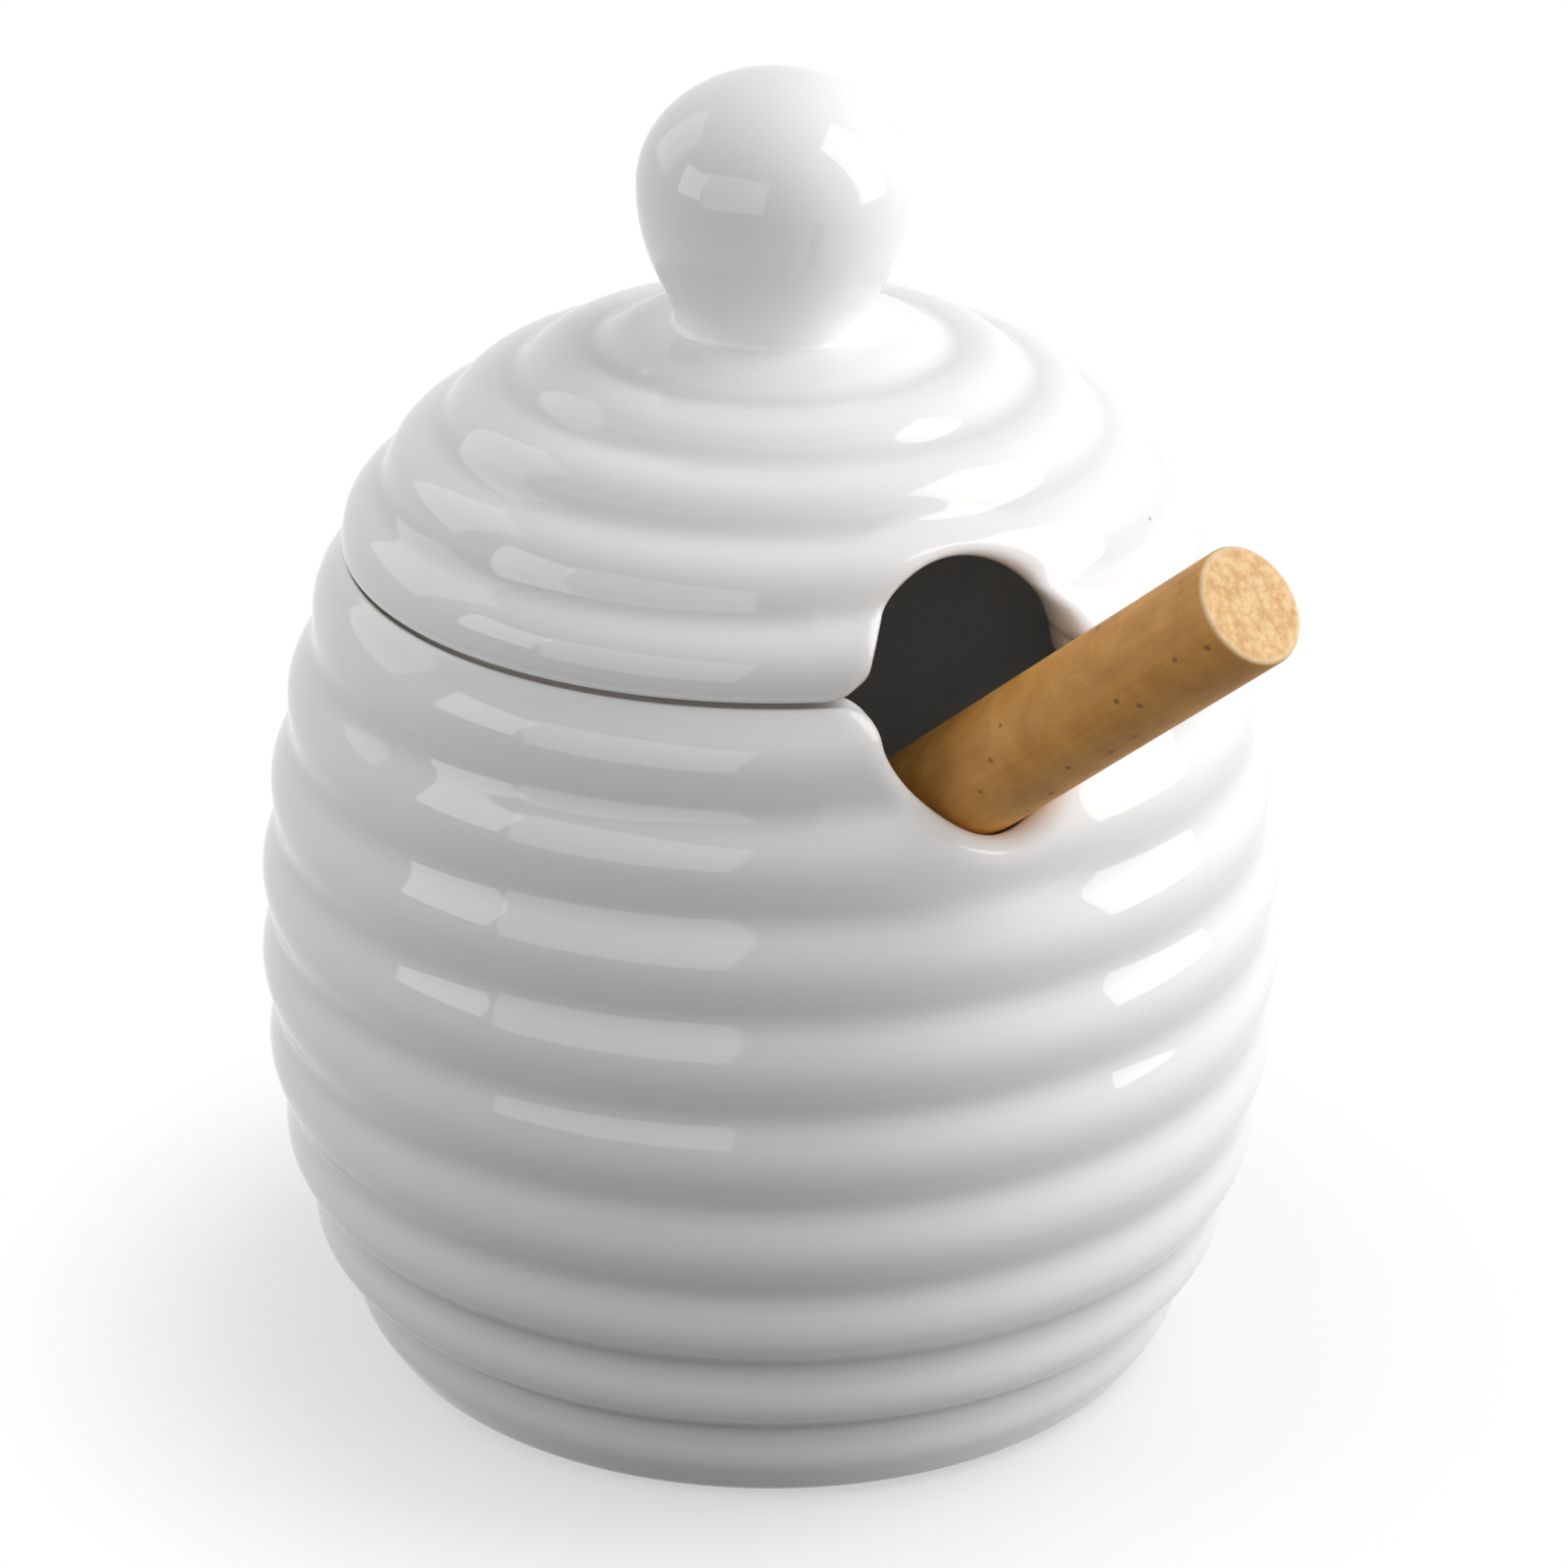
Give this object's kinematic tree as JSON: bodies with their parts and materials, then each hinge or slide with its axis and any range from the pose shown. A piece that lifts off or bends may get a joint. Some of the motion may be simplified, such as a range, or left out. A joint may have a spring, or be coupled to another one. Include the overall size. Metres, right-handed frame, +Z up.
{
  "type": "honey pot",
  "caption": "Ribbed beehive-shaped porcelain honey pot with a domed lid, a ball knob and a wooden dipper that leans out of a round opening at the rim.",
  "frame": {"origin": "middle of the foot ring, on the surface that the pot stands on", "axes": "+Z up along the pot's axis, -Y towards the opening for the dipper, +X to the right when the opening is seen from outside"},
  "size_m": [0.102, 0.1242, 0.1319],
  "materials": {
    "pot_glaze": "gloss",
    "lid_glaze": "gloss",
    "handle_wood": "satin",
    "head_wood": "satin"
  },
  "bodies": {
    "pot": {"pot_body": "pot_glaze"},
    "lid": {"lid_dome": "lid_glaze", "lid_knob": "lid_glaze"},
    "dipper": {"dipper_handle": "handle_wood", "dipper_head": "head_wood"}
  },
  "joints": [
    {"name": "lid_lift", "type": "slide", "parent": "pot", "child": "lid", "axis": [0, 0, 1], "range_m": [0, 0.06]},
    {"name": "dipper_draw", "type": "slide", "parent": "pot", "child": "dipper", "axis": [0.2501, -0.7264, 0.6401], "range_m": [0, 0.055]}
  ]
}
